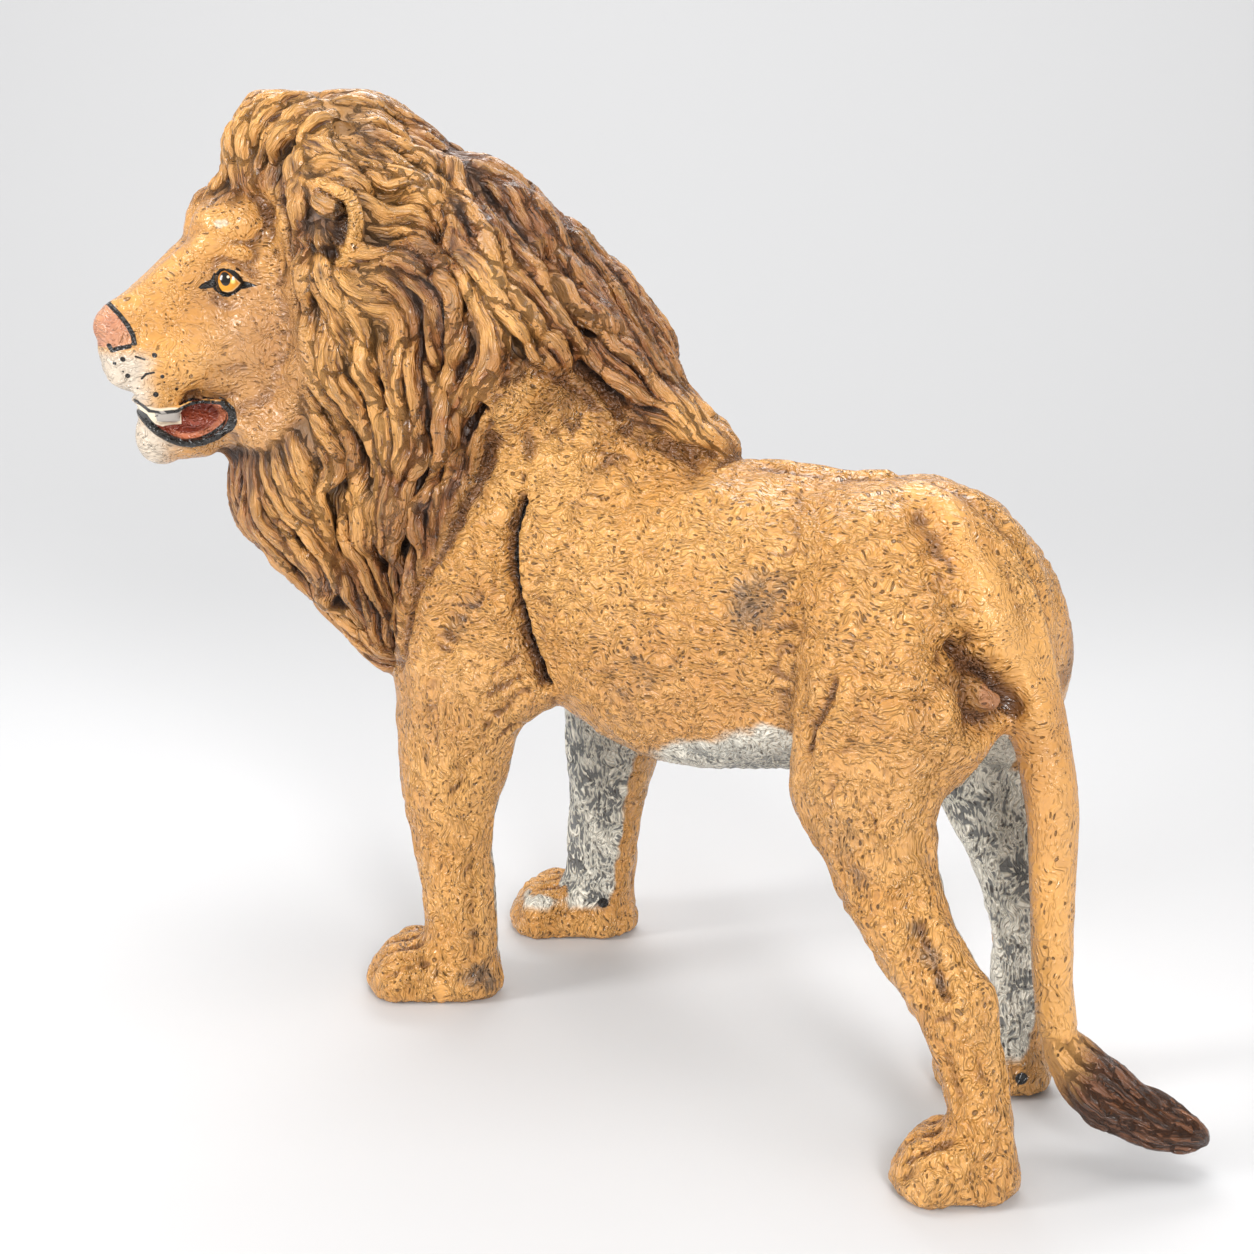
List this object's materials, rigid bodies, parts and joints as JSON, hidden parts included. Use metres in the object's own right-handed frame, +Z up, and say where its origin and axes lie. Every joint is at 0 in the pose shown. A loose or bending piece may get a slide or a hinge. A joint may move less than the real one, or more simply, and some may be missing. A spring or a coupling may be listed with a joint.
{
  "type": "cold-painted bronze lion figure",
  "caption": "Standing lion figure with its head turned aside, mouth open, a full mane of carved locks and a hanging tail, resting on its flat paws.",
  "frame": {"origin": "middle of the box round the figure, on the surface that it stands on", "axes": "+Z up; the body runs along X with the tail at +X and the forelegs at -X; the lion's left side faces -Y and its head is turned to -X and -Y"},
  "size_m": [0.1874, 0.0772, 0.1537],
  "materials": {
    "painted_bronze": "hand-painted in oils under a clear gloss varnish: ochre coat, brown mane, grey-white underside"
  },
  "bodies": {
    "root": {"lion": "painted_bronze"}
  },
  "joints": []
}
